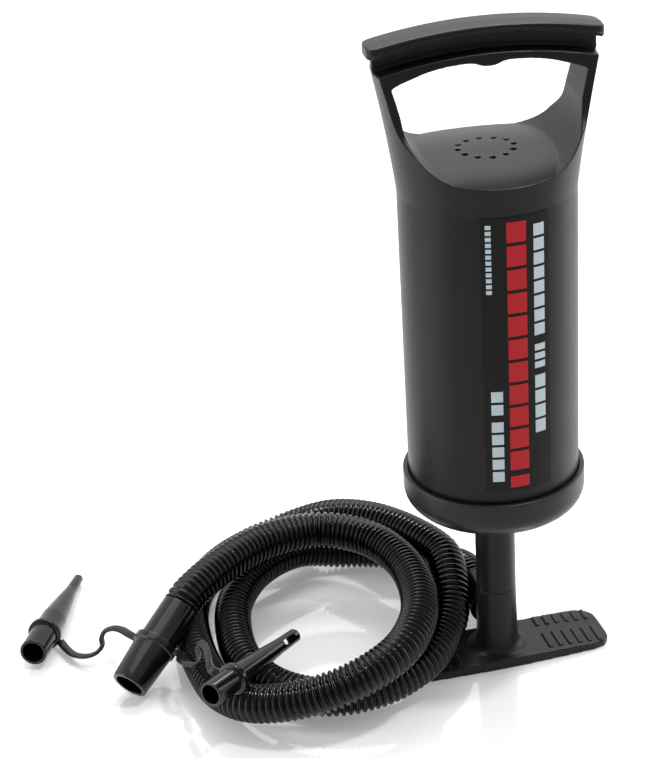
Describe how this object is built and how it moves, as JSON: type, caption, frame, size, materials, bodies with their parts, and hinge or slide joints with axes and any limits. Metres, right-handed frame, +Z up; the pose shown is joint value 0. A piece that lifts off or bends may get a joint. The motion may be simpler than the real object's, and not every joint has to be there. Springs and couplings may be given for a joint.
{
  "type": "air mattress pump",
  "caption": "Hand-worked air mattress pump: barrel with a grab handle sliding on a rod above a flat foot, with a corrugated hose, adapter and loose nozzles.",
  "frame": {"origin": "on the floor under the rod axis, at the middle of the foot", "axes": "+Z up along the rod, +X along the foot, -Y towards the printed front"},
  "size_m": [0.319, 0.209, 0.3613],
  "materials": {
    "shell": "satin moulded dark grey plastic",
    "label": "smooth printed film with plain bars",
    "cap": "satin moulded black plastic",
    "foot": "satin moulded grey plastic",
    "hose": "glossy flexible vinyl",
    "nozzle": "glossy moulded black plastic",
    "strap": "satin flexible vinyl",
    "rod": "polished dark plastic tube",
    "seal": "matt rubber",
    "nylon": "natural white moulding",
    "steel": "plated steel"
  },
  "bodies": {
    "base": {"foot": "foot", "foot_plug": "foot", "piston_rod": "rod", "piston_lower": "nylon", "piston_upper": "nylon", "piston_screw_1": "steel", "piston_screw_2": "steel", "piston_screw_3": "steel", "stroke_bumper": "seal", "hose_cuff": "hose", "hose": "hose", "nozzle_adapter": "nozzle", "nozzle_left": "nozzle", "nozzle_right": "nozzle", "strap_left": "strap", "strap_right": "strap"},
    "ring": {"piston_ring": "seal"},
    "barrel_unit": {"barrel": "shell", "label_panel": "label", "end_cap": "cap", "rod_bush": "nylon", "rod_seal": "seal", "top_flap_pin": "nylon", "bottom_flap_retainer": "nylon"},
    "top_flap": {"top_intake_flap": "seal"},
    "bottom_flap": {"bottom_intake_flap": "seal"},
    "upper_flap": {"upper_outlet_flap": "seal"},
    "lower_flap": {"lower_outlet_flap": "seal"}
  },
  "joints": [
    {"name": "barrel_turn", "type": "hinge", "parent": "base", "child": "ring", "pos_m": [0, 0, 0.222], "axis": [0, 0, 1], "continuous": true},
    {"name": "barrel_stroke", "type": "slide", "parent": "ring", "child": "barrel_unit", "axis": [0, 0, 1], "range_m": [-0.048, 0.096]},
    {"name": "top_flap_lift", "type": "slide", "parent": "barrel_unit", "child": "top_flap", "axis": [0, 0, -1], "range_m": [0, 0.001], "stiffness_N_per_m": 60, "springref_m": -0.001},
    {"name": "bottom_flap_lift", "type": "slide", "parent": "barrel_unit", "child": "bottom_flap", "axis": [0, 0, 1], "range_m": [0, 0.001], "stiffness_N_per_m": 60, "springref_m": -0.001},
    {"name": "upper_flap_lift", "type": "slide", "parent": "base", "child": "upper_flap", "axis": [0, 0, -1], "range_m": [0, 0.001], "stiffness_N_per_m": 60, "springref_m": -0.001},
    {"name": "lower_flap_lift", "type": "slide", "parent": "base", "child": "lower_flap", "axis": [0, 0, 1], "range_m": [0, 0.001], "stiffness_N_per_m": 60, "springref_m": -0.001}
  ]
}
